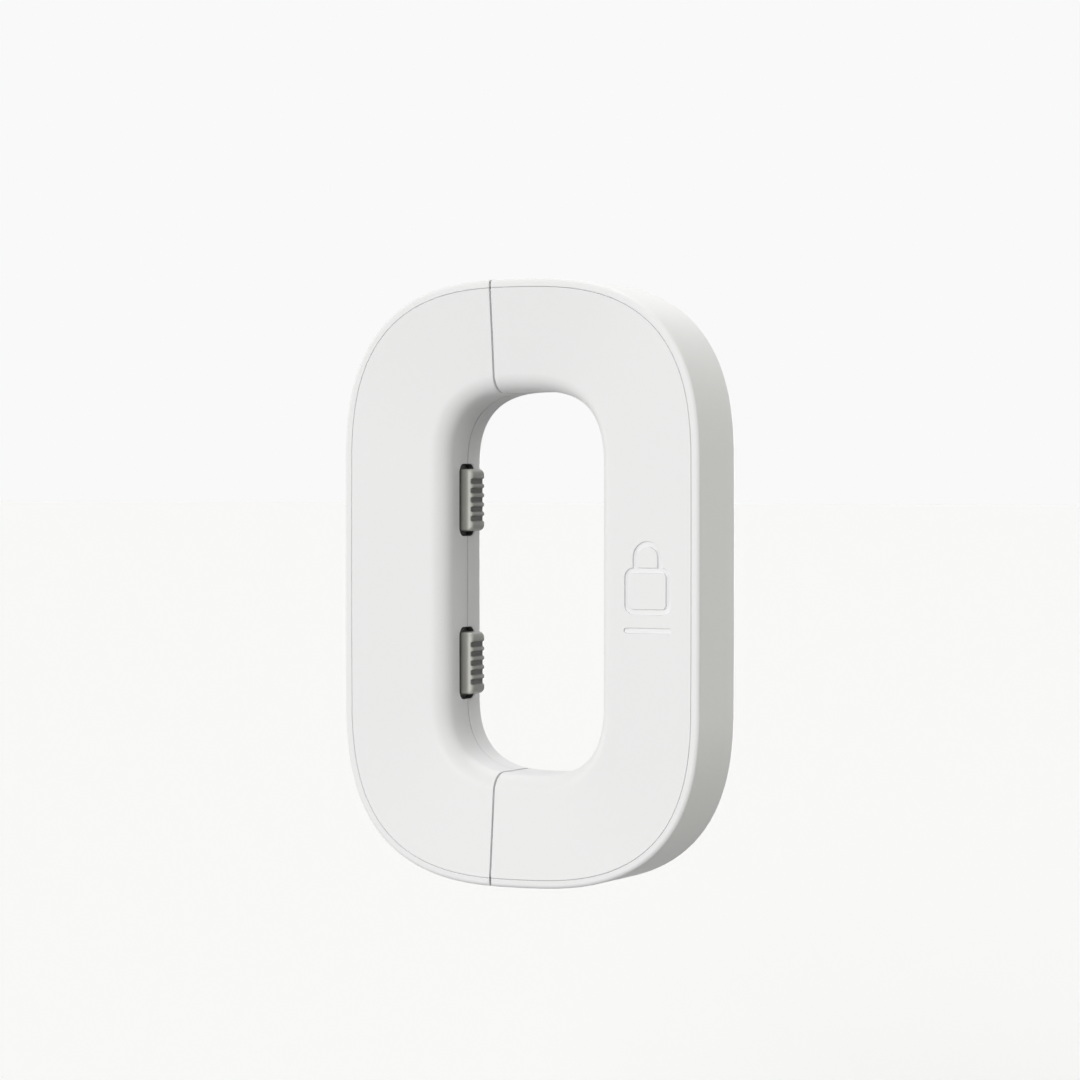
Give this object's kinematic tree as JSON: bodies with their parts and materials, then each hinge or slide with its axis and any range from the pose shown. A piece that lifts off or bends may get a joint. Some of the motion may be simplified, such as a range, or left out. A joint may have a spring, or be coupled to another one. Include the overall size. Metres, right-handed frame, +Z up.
{
  "type": "refrigerator lock",
  "caption": "White plastic ring-shaped child lock for a pair of refrigerator doors, split into two stick-on halves held together by sprung bolts and squeeze buttons inside the ring.",
  "frame": {"origin": "middle of the whole lock's box, halves joined and locked", "axes": "+X to the right seen from the front, +Y from the front face towards the doors, +Z up along the ring's long side"},
  "size_m": [0.0772, 0.0188, 0.12],
  "materials": {
    "white_plastic": "fine satin moulded ABS",
    "grey_plastic": "warm grey moulded ABS, ribbed",
    "slide_plastic": "natural acetal",
    "spring_steel": "drawn stainless wire",
    "zinc_screw": "zinc plated steel",
    "foam_pad": "closed-cell acrylic foam tape"
  },
  "bodies": {
    "left_half": {"left_rear_housing": "white_plastic", "left_front_cover": "white_plastic", "left_upper_screw": "zinc_screw", "left_middle_screw": "zinc_screw", "left_lower_screw": "zinc_screw", "left_adhesive_pad": "foam_pad", "upper_return_spring": "spring_steel", "lower_return_spring": "spring_steel", "upper_slide_retainer": "slide_plastic", "lower_slide_retainer": "slide_plastic", "upper_retainer_screw_inner": "zinc_screw", "upper_retainer_screw_outer": "zinc_screw", "lower_retainer_screw_inner": "zinc_screw", "lower_retainer_screw_outer": "zinc_screw"},
    "right_half": {"right_rear_housing": "white_plastic", "right_front_cover": "white_plastic", "right_upper_screw": "zinc_screw", "right_middle_screw": "zinc_screw", "right_lower_screw": "zinc_screw", "right_adhesive_pad": "foam_pad"},
    "upper_latch": {"upper_button": "grey_plastic", "upper_latch_slide": "slide_plastic"},
    "lower_latch": {"lower_button": "grey_plastic", "lower_latch_slide": "slide_plastic"}
  },
  "joints": [
    {"name": "upper_button_press", "type": "slide", "parent": "left_half", "child": "upper_latch", "axis": [-1, 0, 0], "range_m": [0, 0.0023], "stiffness_N_per_m": 400, "springref_m": -0.004, "deforming": ["upper_return_spring"]},
    {"name": "lower_button_press", "type": "slide", "parent": "left_half", "child": "lower_latch", "axis": [-1, 0, 0], "range_m": [0, 0.0023], "stiffness_N_per_m": 400, "springref_m": -0.004, "deforming": ["lower_return_spring"]},
    {"name": "halves_part", "type": "slide", "parent": "left_half", "child": "right_half", "axis": [1, 0, 0], "range_m": [0, 0.03]}
  ]
}
